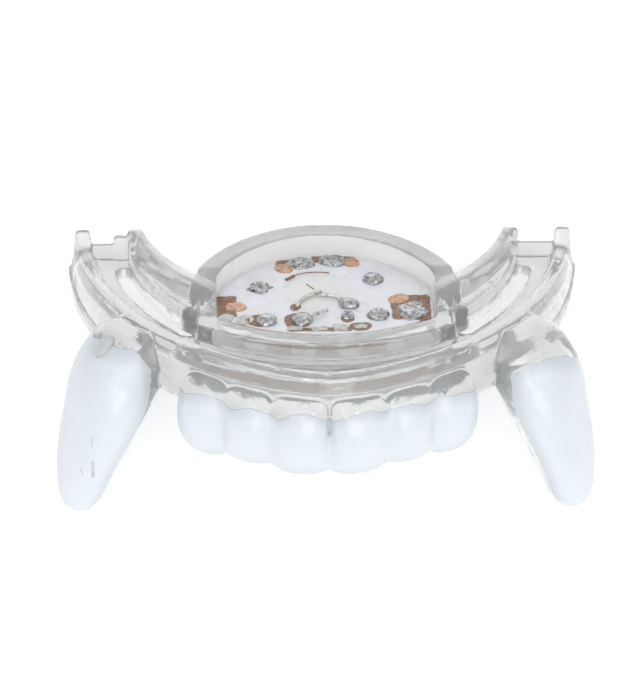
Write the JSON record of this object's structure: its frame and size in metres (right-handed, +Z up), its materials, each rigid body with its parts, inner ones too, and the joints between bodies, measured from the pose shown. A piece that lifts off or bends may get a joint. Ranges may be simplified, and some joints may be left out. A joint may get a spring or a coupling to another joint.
{
  "type": "vampire fang denture",
  "caption": "Clear horseshoe bite tray with a row of white front teeth, long white fangs and an open light housing that holds a circuit board, coin cell and small lamps.",
  "frame": {"origin": "centre of the bounding box at the floor, with the denture standing on both fang tips and the ends of both arms", "axes": "+X to the wearer's left as seen from the front, which is the viewer's right; +Y from the front teeth to the back; +Z up from the floor. The rim of the tray is tipped back about 37 degrees."},
  "size_m": [0.0664, 0.0356, 0.0235],
  "materials": {
    "clear_plastic": "clear, glossy, moulded",
    "white_painted": "clear moulding sprayed glossy white on the outside",
    "board": "white coated board",
    "cell_steel": "plain steel can",
    "led_lens": "clear resin",
    "solder": "dull tin solder and tinned wire"
  },
  "bodies": {
    "root": {"bite_tray": "clear_plastic", "front_teeth": "white_painted", "fang_left": "white_painted", "fang_right": "white_painted", "circuit_board": "board", "coin_cell": "cell_steel", "led_1": "led_lens", "led_2": "led_lens", "led_3": "led_lens", "led_4": "led_lens", "solder_rear_left": "solder", "solder_rear_right": "solder", "solder_right": "solder", "solder_left": "solder", "solder_front_left": "solder", "solder_front_right": "solder", "solder_far_right": "solder", "wire_leg_upper": "solder", "wire_leg_lower": "solder"}
  },
  "joints": []
}
